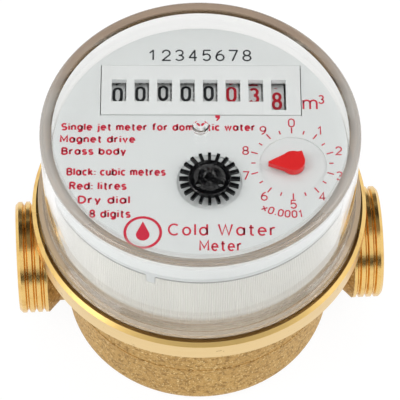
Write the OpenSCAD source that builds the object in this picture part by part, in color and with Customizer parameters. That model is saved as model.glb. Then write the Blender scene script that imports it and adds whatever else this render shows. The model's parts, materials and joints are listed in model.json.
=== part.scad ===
// Single-jet domestic water meter: a cast brass body with two threaded ends, an
// impeller in its chamber, and a dry register under a clear cap that turns on it.
// Millimetres. The foot rests on z = 0 and the pipe axis runs along X.

/* [Meter body] */
// length between the two sealing faces
body_length = 86; // [84:0.5:96]
// height of the pipe axis above the foot
axis_height = 20; // [19:0.5:24]
// outside radius of the cast cup at its top
cup_r = 32.1; // [31.6:0.1:33]
// how much the cup narrows down to the foot
cup_draft = 0.6; // [0:0.1:1]
// rounding between the cup and its flat foot
foot_fillet = 6; // [4:0.5:7]
// height of the fine ridge that the mould's joint leaves round the cup
parting_ridge = 0.1; // [0.05:0.05:0.4]
// thickness of the cast wall round the chamber
cup_wall = 5.4; // [5:0.1:5.8]
// thickness of the floor under the chamber
floor_wall = 7; // [6:0.5:8]
// height of the machined collar that carries the cap
collar_height = 6; // [5:0.25:6.5]
// width of the collar outside the cap's skirt
collar_width = 3.3; // [3:0.1:5]
// bevel round the collar's top edge
collar_bevel = 0.9; // [0.4:0.1:1.2]

/* [Pipe ends] */
// outside diameter of the pipe thread
thread_d = 26.44; // [26:0.02:28]
// distance from one thread crest to the next
thread_pitch = 1.814; // [1.6:0.002:2]
// depth of the thread
thread_depth = 0.75; // [0.5:0.01:1]
// width of the flat on top of a crest
crest_land = 0.9; // [0.5:0.05:1.1]
// number of thread grooves on each end
thread_turns = 3; // [2:1:4]
// plain length between the thread and the cast neck
run_out = 0.8; // [0.3:0.1:1.2]
// bevel at the mouth of each end
mouth_bevel = 0.7; // [0.5:0.1:1.1]
// radius of the cast neck behind the thread
neck_r = 10.6; // [10.2:0.1:11.5]
// diameter of the machined mouth
mouth_d = 17.5; // [17:0.1:18.5]
// depth of the machined mouth
mouth_depth = 5; // [4:0.25:6]
// diameter of the passage behind the mouth
bore_d = 15; // [13:0.5:15.5]
// diameter of the jet into the chamber
jet_d = 9; // [7:0.5:10]
// how far the jet passes beside the impeller's axis
jet_offset = 14; // [12:0.5:15]

/* [Impeller] */
// number of blades
blades = 8; // [5:1:10]
// gap between the blade tips and the chamber wall
blade_gap = 3.5; // [2:0.25:5]
// thickness of a blade
blade_t = 1.3; // [0.8:0.1:2]
// height of a blade
blade_h = 15; // [12:0.5:16]
// thickness of the pressure plate over the chamber
plate_t = 3; // [3:0.1:3.4]

/* [Cap and register, drawn for a cap radius of 35.9] */
// outside radius of the clear cap, which sets the size of the whole register
cap_r = 35.9; // [33:0.1:39]
// wall of the clear cap
cap_wall = 2.6; // [2.4:0.05:2.7]
// thickness of the cap's flat top
cap_top = 2.5; // [2:0.1:3]
// rounding of the cap's top edge
cap_round = 1.2; // [0.6:0.1:1.8]
// how far the cap's foot flange stands out from its wall
flange_w = 1.4; // [1:0.1:1.6]
// height of the foot flange
flange_h = 4.2; // [2:0.2:6]
// diameter of the stub that the moulding gate leaves on the middle of the cap
gate_d = 3.7; // [2:0.1:4]
// height of that stub
gate_h = 2.1; // [1:0.1:3]
// how far the register stands turned on the body, counter-clockwise from above
register_turn = -3.3; // [-90:0.1:90]
// depth of the dial below the cap's ceiling
dial_depth = 5.5; // [5:0.1:6]
// thickness of the dial plate
dial_t = 1.2; // [1:0.1:1.3]
// wall of the white register housing
housing_wall = 1; // [0.8:0.05:1.1]

/* [Counter, drawn for a cap radius of 35.9] */
// number of drums
drums = 8; // [8:1:8]
// distance from one drum to the next
drum_pitch = 5.2; // [5.15:0.01:5.25]
// radius of the drums over the printed rim
drum_r = 8.6; // [8.4:0.05:8.7]
// left edge of the first drum
drum_x = -21.1; // [-21.3:0.1:-20.9]
// distance of the drum axis behind the middle of the dial
drum_y = 15.3; // [15.1:0.1:15.5]
// width of a window
window_w = 3.35; // [2.8:0.05:3.6]
// length of the windows over the whole numbers and the first decimals
window_l = 6.1; // [5:0.1:7]
// length of the last window, which shows two digits
last_window_l = 8.4; // [7:0.1:9]

/* [Star and pointer, drawn for a cap radius of 35.9] */
// middle of the star from left to right
star_x = 2.05; // [1.8:0.05:2.5]
// middle of the star from front to back
star_y = -9.65; // [-10.2:0.05:-9.5]
// radius of the star over its spokes
star_r = 6.8; // [6:0.05:6.9]
// thickness of the star
star_t = 1.2; // [0.8:0.1:1.4]
// gap between the star and the dial
star_gap = 0.7; // [0.4:0.1:1]
// number of spokes on the star
star_spokes = 20; // [12:1:24]
// middle of the pointer from left to right
pointer_x = 20.8; // [20.5:0.05:21]
// middle of the pointer from front to back
pointer_y = -5; // [-5.3:0.05:-4.8]
// length of the pointer from its middle to its tip
pointer_l = 5.6; // [4.5:0.1:6.5]
// direction of the pointer, counter-clockwise from the right
pointer_angle = 185; // [0:1:359]

/* [Fits] */
// clearance between a shaft and its bearing
running_fit = 0.05; // [0.03:0.01:0.08]
// clearance between the cap and the collar it turns in
turning_fit = 0.3; // [0.2:0.05:0.4]
// gap between pieces that pass each other
part_gap = 0.3; // [0.2:0.05:0.35]

/* [Hidden] */
$fn = 96;

// levels of the body, from the foot up
seat_z = axis_height + 11;
plate_top = seat_z + plate_t;
collar_top = axis_height + 20.9;
collar_z = collar_top - collar_height;
chamber_r = cup_r - cup_wall;
seat_r = chamber_r + 2.2;
ring_r = seat_r + 1.8;
end_x = body_length / 2;
thread_r = thread_d / 2;
thread_x = end_x - mouth_bevel - thread_turns * thread_pitch - run_out;

// the register is drawn for this cap radius, with z = 0 on the collar, and scaled to fit the cap
drawn_r = 35.9;
register_size = cap_r / drawn_r;
cap_height = 29.4;
cap_foot = turning_fit;
cap_z = cap_height;
ceiling_z = cap_z - cap_top;
cap_inner = drawn_r - cap_wall;
skirt_r = drawn_r - 0.7;
skirt_z = -4.2;
bead = 0.45;

// the collar bore that the cap's skirt turns in
ledge_z = collar_top + skirt_z * register_size;
collar_bore = (skirt_r + turning_fit) * register_size;
collar_r = collar_bore + collar_width;
bead_w = bead * register_size;
bead_z = ledge_z + 0.5 * register_size;
bead_h = 1.4 * register_size;

// levels of the register
housing_r = cap_inner - 0.2;
housing_inner = housing_r - housing_wall;
lip_r = cap_inner + 0.8;
housing_z = -2.2;
floor_z = housing_z + 1.5;
lip_z = housing_z + 1;
dial_z = ceiling_z - dial_depth;
wall_top = dial_z - dial_t;
bridge_top = wall_top - 2.1;
bridge_z = bridge_top - 1.2;
boss_z = floor_z + 1.2;
shaft_z = floor_z - 0.7;
shaft_r = 0.8;
bearing_r = shaft_r + running_fit;
shaft_top = bridge_top - 0.2;

// the counter
axle_r = 1;
drum_z = wall_top - 0.5 - drum_r;
drum_w = drum_pitch - part_gap;
disc_w = 0.9;
gear_w = 1;
drum_teeth = 20;
pinion_teeth = 8;
drum_module = 0.76;
pinion_dist = drum_module * (drum_teeth + pinion_teeth) / 2;
pinion_y = drum_y - pinion_dist;
cheek_t = 1;
frame_w = drums * drum_pitch + 3.8;
frame_d = 13.7;
frame_x = drum_x + (drums * drum_pitch - part_gap) / 2 + 0.65;
frame_y = drum_y + 0.15;
left_cheek = drum_x - part_gap - cheek_t;
wheel_x = drum_pitch;
wheel_w = 1.1;
right_cheek = drum_x + (drums - 1) * drum_pitch + wheel_x + wheel_w + part_gap;
lug_t = 0.8;
left_lug = drum_x - 0.4 - lug_t;
right_lug = drum_x + 7 * drum_pitch + 1.2;

// the gear train, from the magnet in the middle to the worm beside the last drum
star = [star_x, star_y];
dial_hand = [pointer_x, pointer_y];
worm_r = 1.6;
worm_pitch_r = 1.2;
worm_core = 0.75;
spindle_r = 0.5;
worm_at = [drum_x + (drums - 1) * drum_pitch + wheel_x + wheel_w / 2,
  drum_y - drum_module * drum_teeth / 2 - worm_pitch_r - 0.05];
follower_teeth = 10;
star_wheel_teeth = 24;
star_pinion_teeth = 8;
idler_wheel_teeth = 24;
idler_pinion_teeth = 8;
hand_wheel_teeth = 26;
hand_gear_teeth = 24;
worm_gear_teeth = 12;
idler_module = 0.6;
idler_a = idler_module * (star_pinion_teeth + idler_wheel_teeth) / 2;
idler_b = idler_module * (idler_pinion_teeth + hand_wheel_teeth) / 2;
hand_dist = norm(dial_hand - star);
idler_along = (idler_a * idler_a - idler_b * idler_b + hand_dist * hand_dist) / (2 * hand_dist);
idler_aside = sqrt(idler_a * idler_a - idler_along * idler_along);
hand_dir = (dial_hand - star) / hand_dist;
idler_at = star + idler_along * hand_dir + idler_aside * [hand_dir[1], -hand_dir[0]];
magnet_z = boss_z + 0.3;
star_wheel_z = magnet_z + 3.4;
idler_wheel_z = star_wheel_z + 2.6;
hand_wheel_z = idler_wheel_z + 3.2;
low_gear_z = boss_z + 0.4;
worm_h = 6.4;
worm_lead = PI * drum_module;
worm_z = drum_z - worm_h / 2;
posts = [[-25, -9], [-4, -27], [17, -23]];

// direction from one shaft to another, in degrees
function way(a, b) = atan2(b[1] - a[1], b[0] - a[0]);

function polar(r, angle) = [r * cos(angle), r * sin(angle)];

// outline of one tooth at an angle, six points from root to root
function tooth(n, module_mm, add, ded, angle) = let (
    pitch_r = n * module_mm / 2,
    half = 0.42 * 180 / n,
    root_half = n > 12 ? half * 1.3 : half,
    tip_half = half * 0.45,
    root_r = pitch_r - ded * module_mm,
    tip_r = pitch_r + add * module_mm)
  [polar(root_r, angle - root_half), polar(pitch_r, angle - half), polar(tip_r, angle - tip_half),
   polar(tip_r, angle + tip_half), polar(pitch_r, angle + half), polar(root_r, angle + root_half)];

function gear_points(n, module_mm, add, ded) =
  [for (i = [0 : n - 1]) each tooth(n, module_mm, add, ded, i * 360 / n)];

// a wheel has short tips and deep roots, and a pinion the other way round
module wheel_2d(n, module_mm) {
  polygon(gear_points(n, module_mm, 0.55, 1));
}

module pinion_2d(n, module_mm) {
  polygon(gear_points(n, module_mm, 0.75, 0.85));
}

module wheel(n, module_mm, angle, z, h) {
  translate([0, 0, z])
    rotate([0, 0, angle])
      linear_extrude(h) wheel_2d(n, module_mm);
}

module pinion(n, module_mm, angle, z, h) {
  translate([0, 0, z])
    rotate([0, 0, angle])
      linear_extrude(h) pinion_2d(n, module_mm);
}

module shaft(z0, z1, r) {
  translate([0, 0, z0]) cylinder(r = r, h = z1 - z0);
}

// sets a piece of the register on the collar, at the register's size
module register_place() {
  translate([0, 0, collar_top])
    rotate([0, 0, register_turn])
      scale(register_size) children();
}

module at_xy(p) {
  translate([p[0], p[1], 0]) children();
}

// turns a piece built along Z so that it lies along X
module along_x(x, y, z) {
  translate([x, y, z]) rotate([90, 0, 90]) children();
}

// cast brass body

module cup_profile() {
  foot_r = cup_r - cup_draft;
  ridge_z = axis_height - 3.3;
  ridge_draft = cup_draft * (collar_z - 2.5 - ridge_z) / (collar_z - 2.5 - foot_fillet);
  polygon([[0, 0], [foot_r - foot_fillet, 0], [foot_r - foot_fillet, foot_fillet],
    [foot_r, foot_fillet], [cup_r, collar_z - 2.5], [cup_r + 2.5, collar_z], [collar_r - 0.6, collar_z],
    [collar_r, collar_z + 0.6], [collar_r, collar_top - collar_bevel], [collar_r - collar_bevel, collar_top],
    [0, collar_top]]);
  intersection() {
    translate([foot_r - foot_fillet, foot_fillet]) circle(r = foot_fillet);
    translate([foot_r - foot_fillet, 0]) square([foot_fillet, foot_fillet]);
  }
  translate([cup_r - 2, ridge_z]) square([2 - ridge_draft + parting_ridge, 0.6]);
}

module cavity_profile() {
  polygon([[0, floor_wall], [chamber_r, floor_wall], [chamber_r, seat_z], [seat_r, seat_z],
    [seat_r, plate_top], [ring_r, plate_top], [ring_r, ledge_z], [collar_bore, ledge_z],
    [collar_bore, bead_z], [collar_bore + bead_w, bead_z + bead_w],
    [collar_bore + bead_w, bead_z + bead_h], [collar_bore, bead_z + bead_h + bead_w],
    [collar_bore, collar_top + 1], [0, collar_top + 1]]);
}

// one threaded end, built along Z from the middle of the body outwards
module pipe_end() {
  root_r = thread_r - thread_depth;
  flank = (thread_pitch - crest_land) / 2;
  grooves = [for (i = [0 : thread_turns - 1])
    let (z = thread_x + run_out + i * thread_pitch)
    each [[thread_r, z], [root_r, z + flank - 0.1], [root_r, z + flank + 0.1], [thread_r, z + 2 * flank]]];
  neck_z = thread_x - (thread_r - neck_r);
  rotate_extrude() polygon(concat([[0, 0], [neck_r, 0], [neck_r, neck_z], [thread_r, thread_x]], grooves,
    [[thread_r, end_x - mouth_bevel], [thread_r - mouth_bevel, end_x], [0, end_x]]));
}

// the passage through one end, with a step where a strainer sits
module passage(seat) {
  translate([0, 0, end_x - mouth_depth]) cylinder(d = mouth_d, h = mouth_depth + 1);
  if (seat > 0)
    translate([0, 0, end_x - mouth_depth - seat]) cylinder(d = mouth_d - 1, h = seat + 1);
  translate([0, 0, cup_r - 0.9]) cylinder(d = bore_d, h = end_x - mouth_depth - cup_r + 1);
}

// the narrow jet that leads the passage past one side of the impeller
module jet() {
  start = cup_r + 3;
  translate([start, 0, axis_height])
    rotate([0, 0, asin(jet_offset / start)])
      rotate([0, -90, 0]) cylinder(d = jet_d, h = start * 0.75);
}

module body() {
  color([0.78, 0.62, 0.34])
  difference() {
    union() {
      rotate_extrude() cup_profile();
      for (side = [-1, 1])
        translate([0, 0, axis_height]) rotate([0, side * 90, 0]) pipe_end();
    }
    difference() {
      rotate_extrude() cavity_profile();
      cylinder(r = 4, h = floor_wall + 2.5);
    }
    translate([0, 0, axis_height]) rotate([0, -90, 0]) passage(1.5);
    translate([0, 0, axis_height]) rotate([0, 90, 0]) passage(0);
    jet();
    mirror([1, 0, 0]) jet();
    shaft(4, floor_wall + 3, axle_r);
  }
}

// a perforated disc that keeps grit out, on the step inside the inlet
module inlet_strainer() {
  hole = 1.6;
  step = 2.4;
  r = mouth_d / 2 - 0.5;
  color([0.2, 0.35, 0.55])
  translate([mouth_depth - end_x, 0, axis_height]) rotate([0, 90, 0])
    difference() {
      cylinder(r = r - 0.02, h = 1.5);
      for (i = [-3 : 3])
        for (j = [-3 : 3])
          if (norm([i + j / 2, j * 0.866]) * step < bore_d / 2 - hole / 2 - 0.2)
            translate([(i + j / 2) * step, j * 0.866 * step, -1]) cylinder(d = hole, h = 4, $fn = 24);
    }
}

// impeller and what it turns on

pivot_top = floor_wall + 6.5;
hub_z = pivot_top - 3;
blade_z = axis_height - blade_h / 2;
magnet_seat = seat_z + 0.6;
carrier_top = plate_top + 1.8;
dome_in = carrier_top + 0.6;
dome_top = dome_in + 1;
carrier_r = 6.6;
dome_r = carrier_r + 0.9;

module lower_pivot() {
  color([0.75, 0.76, 0.78]) {
    shaft(4, pivot_top - 0.8, axle_r);
    translate([0, 0, pivot_top - 0.8]) cylinder(r1 = axle_r, r2 = 0.3, h = 0.8);
  }
}

module impeller() {
  blade_r = chamber_r - blade_gap;
  color([0.9, 0.9, 0.88])
  difference() {
    union() {
      shaft(hub_z, seat_z - 1, 3.6);
      translate([0, 0, seat_z - 3]) cylinder(r1 = 3.6, r2 = carrier_r, h = 2);
      shaft(seat_z - 1, carrier_top, carrier_r);
      for (i = [0 : blades - 1])
        rotate([0, 0, i * 360 / blades])
          translate([0, -blade_t / 2, blade_z]) cube([blade_r, blade_t, blade_h]);
      translate([0, 0, axis_height - 0.6]) cylinder(r = blade_r * 0.45, h = 1.2);
    }
    shaft(hub_z - 1, pivot_top + 0.8, 2.2);
    difference() {
      shaft(magnet_seat, carrier_top + 1, 5.8);
      shaft(magnet_seat - 1, carrier_top + 2, 2.6);
    }
    shaft(seat_z, carrier_top + 1, bearing_r);
  }
}

// bearing cup in the foot of the hub
module impeller_bush() {
  color([0.65, 0.15, 0.2])
  difference() {
    shaft(hub_z, pivot_top + 0.8, 2.2);
    shaft(hub_z - 1, pivot_top + 0.3, axle_r + running_fit);
  }
}

module drive_magnet() {
  color([0.2, 0.2, 0.22])
  difference() {
    shaft(magnet_seat, carrier_top - 0.3, 5.7);
    shaft(magnet_seat - 1, carrier_top + 1, 2.7);
  }
}

module upper_pivot() {
  color([0.75, 0.76, 0.78])
  shaft(seat_z + 0.4, dome_in + 0.5, shaft_r);
}

// plate that closes the wet chamber, with a thin dome over the drive magnet
module pressure_plate() {
  groove_z = seat_z + plate_t / 2 - 1.1;
  color([0.55, 0.57, 0.6])
  difference() {
    union() {
      shaft(seat_z, plate_top, seat_r - 0.2);
      shaft(plate_top - 0.5, dome_top, dome_r + 1.2);
      for (i = [0 : 5])
        rotate([0, 0, i * 60 + 15])
          translate([dome_r + 3, -0.6, seat_z - 1.2]) cube([chamber_r - dome_r - 5, 1.2, 2]);
    }
    shaft(seat_z - 2, dome_in, dome_r);
    shaft(dome_in - 1, dome_in + 0.5, shaft_r);
    difference() {
      shaft(groove_z, groove_z + 2.2, seat_r + 1);
      shaft(groove_z - 1, groove_z + 3, seat_r - 2.5);
    }
  }
}

module plate_seal() {
  color([0.1, 0.1, 0.1])
  translate([0, 0, seat_z + plate_t / 2])
    rotate_extrude() translate([seat_r - 1.4, 0]) circle(r = 1.1, $fn = 32);
}

// screwed ring that holds the plate down, with four slots for its key
module retaining_ring() {
  color([0.8, 0.66, 0.36])
  difference() {
    shaft(plate_top, ledge_z + 0.6, ring_r - 0.05);
    shaft(plate_top - 1, ledge_z + 2, ring_r - 6);
    for (i = [0 : 3])
      rotate([0, 0, 45 + i * 90])
        translate([ring_r - 7, -1.5, plate_top + 1.2]) cube([4.5, 3, 6]);
  }
}

// soft iron ring round the dome that keeps outside magnets from the coupling
module magnet_shield() {
  color([0.5, 0.5, 0.52])
  difference() {
    shaft(plate_top, dome_top - 0.4, dome_r + 2.8);
    shaft(plate_top - 1, dome_top + 1, dome_r + 1.6);
  }
}

// clear cap

module cap_profile() {
  flange_r = drawn_r + flange_w;
  difference() {
    union() {
      translate([0, cap_foot]) square([drawn_r, cap_z - cap_round - cap_foot]);
      translate([0, cap_z - cap_round - 1]) square([drawn_r - cap_round, cap_round + 1]);
      intersection() {
        translate([drawn_r - cap_round, cap_z - cap_round]) circle(r = cap_round);
        translate([drawn_r - cap_round, cap_z - cap_round]) square(cap_round);
      }
      polygon([[0, cap_foot], [flange_r - 0.3, cap_foot], [flange_r, cap_foot + 0.3],
        [flange_r, cap_foot + flange_h - 1], [drawn_r, cap_foot + flange_h], [0, cap_foot + flange_h]]);
      polygon([[0, skirt_z + 0.3], [skirt_r - 0.3, skirt_z + 0.3], [skirt_r, skirt_z + 0.6],
        [skirt_r, skirt_z + 0.8], [skirt_r + bead, skirt_z + 0.8 + bead],
        [skirt_r + bead, skirt_z + 1.6], [skirt_r, skirt_z + 1.6 + bead],
        [skirt_r, cap_foot + 1], [0, cap_foot + 1]]);
    }
    translate([0, skirt_z]) square([cap_inner, ceiling_z - skirt_z]);
    translate([0, skirt_z]) square([lip_r + 0.1, lip_z - skirt_z]);
  }
}

module gate_stub() {
  r = gate_d / 2;
  top = cap_z + gate_h;
  rotate_extrude()
    polygon([[0, cap_z - 0.5], [r, cap_z - 0.5], [r, top - 0.6 * gate_h], [0.9 * r, top - 0.3 * gate_h],
      [0.7 * r, top - 0.1 * gate_h], [0.5 * r, top], [0, top]]);
}

module cap() {
  color([0.8, 0.85, 0.88, 0.35])
  register_place() {
    rotate_extrude() cap_profile();
    gate_stub();
  }
}

// register

// white cup under the dial, with a bearing for each shaft and posts for the bridge
module register_housing() {
  bearings = [[0, 0], star, idler_at, dial_hand, worm_at];
  color([0.94, 0.95, 0.93])
  register_place()
  difference() {
    union() {
      difference() {
        union() {
          shaft(housing_z, wall_top, housing_r);
          shaft(housing_z, lip_z, lip_r);
        }
        shaft(floor_z, wall_top + 1, housing_inner);
      }
      for (p = bearings)
        at_xy(p) shaft(floor_z - 0.5, boss_z, 2.2);
      for (p = posts)
        at_xy(p) {
          shaft(floor_z - 0.5, bridge_z, 1.9);
          shaft(bridge_z - 0.5, bridge_top, 0.9);
        }
    }
    for (p = bearings)
      at_xy(p) shaft(shaft_z - 0.3, boss_z + 1, bearing_r);
    rotate([0, 0, -108.5])
      translate([housing_r - 0.5, -1.1, wall_top - 3]) cube([2, 2.2, 4]);
  }
}

// upper bearing plate, cut away for the drums, with lugs for the carry pinions' axle
module train_bridge() {
  edge_y = drum_y - sqrt(drum_r * drum_r - pow(bridge_z - drum_z, 2)) - 0.5;
  color([0.78, 0.79, 0.78])
  register_place()
  difference() {
    union() {
      intersection() {
        shaft(bridge_z, bridge_top, housing_inner - 0.3);
        translate([-50, -50, 0]) cube([100, 50 + edge_y, 100]);
      }
      for (x = [left_lug, right_lug])
        translate([x, pinion_y - 1.6, drum_z - 1.6]) cube([lug_t, 3.2, bridge_z - drum_z + 2]);
    }
    for (p = [[0, 0], star, idler_at, dial_hand])
      at_xy(p) shaft(bridge_z - 1, bridge_top + 1, bearing_r);
    at_xy(worm_at) shaft(bridge_z - 1, bridge_top + 1, spindle_r + running_fit);
    for (p = posts)
      at_xy(p) shaft(bridge_z - 1, bridge_top + 1, 0.95);
    along_x(left_lug - 1, pinion_y, drum_z) cylinder(r = shaft_r, h = right_lug - left_lug + 3);
  }
}

module dial_plate() {
  gap = 0.2;
  color([0.88, 0.9, 0.9])
  register_place()
  difference() {
    union() {
      shaft(wall_top, dial_z, cap_inner - 0.2);
      rotate([0, 0, -108.5])
        translate([housing_r - 0.5, -0.9, wall_top - 2.8]) cube([0.5, 1.8, 3]);
    }
    at_xy(star) shaft(dial_z - 0.4, dial_z + 1, star_r + 0.5);
    at_xy(dial_hand) shaft(dial_z - 0.4, dial_z + 1, 7.6);
    for (p = [star, dial_hand])
      at_xy(p) shaft(wall_top - 1, dial_z + 1, 1.6);
    translate([frame_x - frame_w / 2 - gap, frame_y - frame_d / 2 - gap, wall_top - 1])
      cube([frame_w + 2 * gap, frame_d + 2 * gap, dial_t + 2]);
  }
}

// counter

// mask with a window over each drum, and two cheeks that carry the drums' axle
module counter_frame() {
  top = dial_z + 0.2;
  color([0.95, 0.96, 0.95])
  register_place()
  difference() {
    union() {
      translate([frame_x - frame_w / 2, frame_y - frame_d / 2, wall_top])
        cube([frame_w, frame_d, top - wall_top]);
      for (x = [left_cheek, right_cheek])
        translate([x, drum_y - 4, floor_z]) cube([cheek_t, 8, wall_top - floor_z + 0.5]);
    }
    for (i = [0 : drums - 1]) {
      length = i < drums - 1 ? window_l : last_window_l;
      translate([drum_x + i * drum_pitch + 0.95, drum_y + 3 - length, wall_top - 1])
        cube([window_w, length, dial_t + 3]);
    }
    along_x(left_cheek - 1, drum_y, drum_z) cylinder(r = axle_r, h = right_cheek - left_cheek + 3);
  }
}

module drum_axle() {
  color([0.75, 0.76, 0.78])
  register_place()
  along_x(left_cheek - 0.4, drum_y, drum_z)
    cylinder(r = axle_r, h = right_cheek + cheek_t - left_cheek + 0.8);
}

module pinion_axle() {
  color([0.75, 0.76, 0.78])
  register_place()
  along_x(left_lug - 0.3, pinion_y, drum_z) cylinder(r = shaft_r, h = right_lug + lug_t - left_lug + 0.6);
}

// a drum has a disc with two carry teeth on its left and a ring of teeth on its right,
// which the last drum has on a longer hub, clear of its rim, for the worm
module drum(k) {
  last = k == drums;
  teeth_x = last ? wheel_x : drum_w - gear_w - 0.5;
  teeth_w = last ? wheel_w : gear_w + 0.5;
  color([0.86, 0.87, 0.87])
  register_place()
  along_x(drum_x + (k - 1) * drum_pitch, drum_y, drum_z)
    difference() {
      union() {
        cylinder(r = 6.3, h = disc_w + 0.5);
        for (a = [-9, 9])
          linear_extrude(disc_w + 0.5)
            polygon(concat([[0, 0]], tooth(drum_teeth, drum_module, 0.55, 1.4, a)));
        translate([0, 0, disc_w]) cylinder(r = drum_r, h = drum_w - gear_w - disc_w);
        rotate([0, 0, 9]) translate([0, 0, teeth_x])
          linear_extrude(teeth_w) wheel_2d(drum_teeth, drum_module);
        if (last)
          cylinder(r = 5, h = wheel_x + 0.5);
      }
      translate([0, 0, -1]) cylinder(r = axle_r + running_fit, h = drum_w + 4);
      if (!last)
        difference() {
          translate([0, 0, 2]) cylinder(r = 5.9, h = drum_w);
          cylinder(r = 2.2, h = drum_w);
        }
    }
}

// a carry pinion turns with the drum on its left and stops short of the carry teeth on its right
module carry_pinion(k) {
  gap = 0.15;
  width = gear_w + part_gap - gap;
  color([0.9, 0.88, 0.8])
  register_place()
  along_x(drum_x + k * drum_pitch - part_gap - gear_w, pinion_y, drum_z)
    difference() {
      linear_extrude(width) pinion_2d(pinion_teeth, drum_module);
      translate([0, 0, -1]) cylinder(r = bearing_r, h = width + 2);
    }
}

// gear train

module follower_shaft() {
  m = 2 * norm(star) / (follower_teeth + star_wheel_teeth);
  color([0.85, 0.82, 0.7])
  register_place() {
    shaft(shaft_z, shaft_top, shaft_r);
    pinion(follower_teeth, m, way([0, 0], star), star_wheel_z - 0.3, 2.2);
  }
}

module follower_magnet() {
  color([0.2, 0.2, 0.22])
  register_place()
  difference() {
    shaft(magnet_z, star_wheel_z - 0.3, 7.5);
    shaft(magnet_z - 1, star_wheel_z + 1, shaft_r);
  }
}

module star_shaft() {
  m = 2 * norm(star) / (follower_teeth + star_wheel_teeth);
  color([0.85, 0.82, 0.7])
  register_place() at_xy(star) {
    shaft(shaft_z, dial_z + star_gap + 0.8, shaft_r);
    wheel(star_wheel_teeth, m, way([0, 0], star) + 180 + 180 / star_wheel_teeth, star_wheel_z, 1.6);
    pinion(star_pinion_teeth, idler_module, way(star, idler_at), idler_wheel_z - 0.4, 2.4);
  }
}

// black star that shows the smallest flow, a domed disc with spokes and two holes
module star_indicator() {
  disc = star_r * 0.7;
  dome = disc - 1.2;
  low = dial_z + star_gap;
  top = low + star_t;
  spoke_w = 0.72;
  color([0.05, 0.05, 0.05])
  register_place() at_xy(star)
  difference() {
    union() {
      rotate_extrude()
        polygon([[0, low], [disc, low], [disc, top - 0.15], [disc - 0.15, top], [dome, top],
          [dome * 0.75, top + 0.3], [dome * 0.4, top + 0.5], [dome * 0.3, top + 0.2], [0, top + 0.2]]);
      for (i = [0 : star_spokes - 1])
        rotate([0, 0, 90 + i * 360 / star_spokes])
          translate([disc - 0.5, -spoke_w / 2, low + 0.1])
            cube([star_r - disc + 0.5, spoke_w, star_t - 0.3]);
    }
    shaft(low - 1, low + 0.8, shaft_r);
    for (a = [-144, -36])
      rotate([0, 0, a]) translate([disc * 0.64, 0, 0]) shaft(low - 1, top + 2, 0.75);
  }
}

module idler() {
  angle = way(star, idler_at) + 180 + 180 / idler_wheel_teeth;
  color([0.85, 0.82, 0.7])
  register_place() at_xy(idler_at) {
    shaft(shaft_z, shaft_top, shaft_r);
    wheel(idler_wheel_teeth, idler_module, angle, idler_wheel_z, 1.6);
    pinion(idler_pinion_teeth, idler_module, way(idler_at, dial_hand), hand_wheel_z - 0.4, 2.4);
  }
}

hand_module = 2 * norm(worm_at - dial_hand) / (hand_gear_teeth + worm_gear_teeth);

module pointer_shaft() {
  angle = way(idler_at, dial_hand) + 180 + 180 / hand_wheel_teeth;
  color([0.85, 0.82, 0.7])
  register_place() at_xy(dial_hand) {
    shaft(shaft_z, dial_z + 1.2, shaft_r);
    wheel(hand_wheel_teeth, idler_module, angle, hand_wheel_z, 1.6);
    wheel(hand_gear_teeth, hand_module, way(dial_hand, worm_at), low_gear_z, 1.4);
  }
}

// red pointer, a round hub drawn out to a tip, with one square corner
module pointer() {
  low = dial_z - 0.1;
  color([0.85, 0.12, 0.12])
  register_place() at_xy(dial_hand) rotate([0, 0, pointer_angle])
  difference() {
    union() {
      shaft(low, low + 1.9, 2.6);
      translate([0, 0, low + 0.5])
        linear_extrude(1.4)
          polygon([[pointer_l, -0.2], [pointer_l, 0.2], [1.3, 2.25], [-0.5, 0], [-2.55, -0.5], [-2.2, -2.5],
            [1.8, -1.9]]);
    }
    shaft(low - 1, dial_z + 1.2, shaft_r);
  }
}

module worm_shaft() {
  angle = way(dial_hand, worm_at) + 180 + 180 / worm_gear_teeth;
  color([0.85, 0.82, 0.7])
  register_place() at_xy(worm_at) {
    shaft(shaft_z, worm_z, shaft_r);
    shaft(worm_z - 1, shaft_top, spindle_r);
    pinion(worm_gear_teeth, hand_module, angle, low_gear_z, 1.4);
  }
}

// left-hand worm that turns the last drum, one tooth for each turn
module worm() {
  twist = 360 * worm_h / worm_lead;
  lobe = [[worm_core, -75], [worm_pitch_r, -46], [worm_r, -26], [worm_r, 0], [worm_r, 26],
    [worm_pitch_r, 46], [worm_core, 75], [worm_core, 110], [worm_core, 145], [worm_core, 180],
    [worm_core, 215], [worm_core, 250]];
  color([0.8, 0.66, 0.36])
  register_place() at_xy(worm_at)
    translate([0, 0, worm_z]) rotate([0, 0, 90 + twist / 2])
      linear_extrude(worm_h, twist = twist, slices = 44, $fn = 14)
        difference() {
          polygon([for (p = lobe) polar(p[0], p[1])]);
          circle(r = spindle_r + 0.04, $fn = 14);
        }
}

body();
inlet_strainer();
lower_pivot();
impeller();
impeller_bush();
drive_magnet();
upper_pivot();
pressure_plate();
plate_seal();
retaining_ring();
magnet_shield();
cap();
register_housing();
train_bridge();
dial_plate();
counter_frame();
drum_axle();
drum(1);  // drum_1
drum(2);  // drum_2
drum(3);  // drum_3
drum(4);  // drum_4
drum(5);  // drum_5
drum(6);  // drum_6
drum(7);  // drum_7
drum(8);  // drum_8
pinion_axle();
carry_pinion(1);  // pinion_1
carry_pinion(2);  // pinion_2
carry_pinion(3);  // pinion_3
carry_pinion(4);  // pinion_4
carry_pinion(5);  // pinion_5
carry_pinion(6);  // pinion_6
carry_pinion(7);  // pinion_7
follower_shaft();
follower_magnet();
star_shaft();
star_indicator();
idler();
pointer_shaft();
pointer();
worm_shaft();
worm();
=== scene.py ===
# %% [markdown]
# A domestic water meter is a brass casting with a dry dial under a clear cap. Its solids come from a packed
# model, which this lesson loads as a fixed frame. What is left for Blender is how it looks: the camera and the
# studio, the finish of each piece, and the fine ribs, numerals and print that lie on the solids.

# %% Load the frame
import json
import math

import bmesh
import bpy
from mathutils import Matrix, Vector


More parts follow.
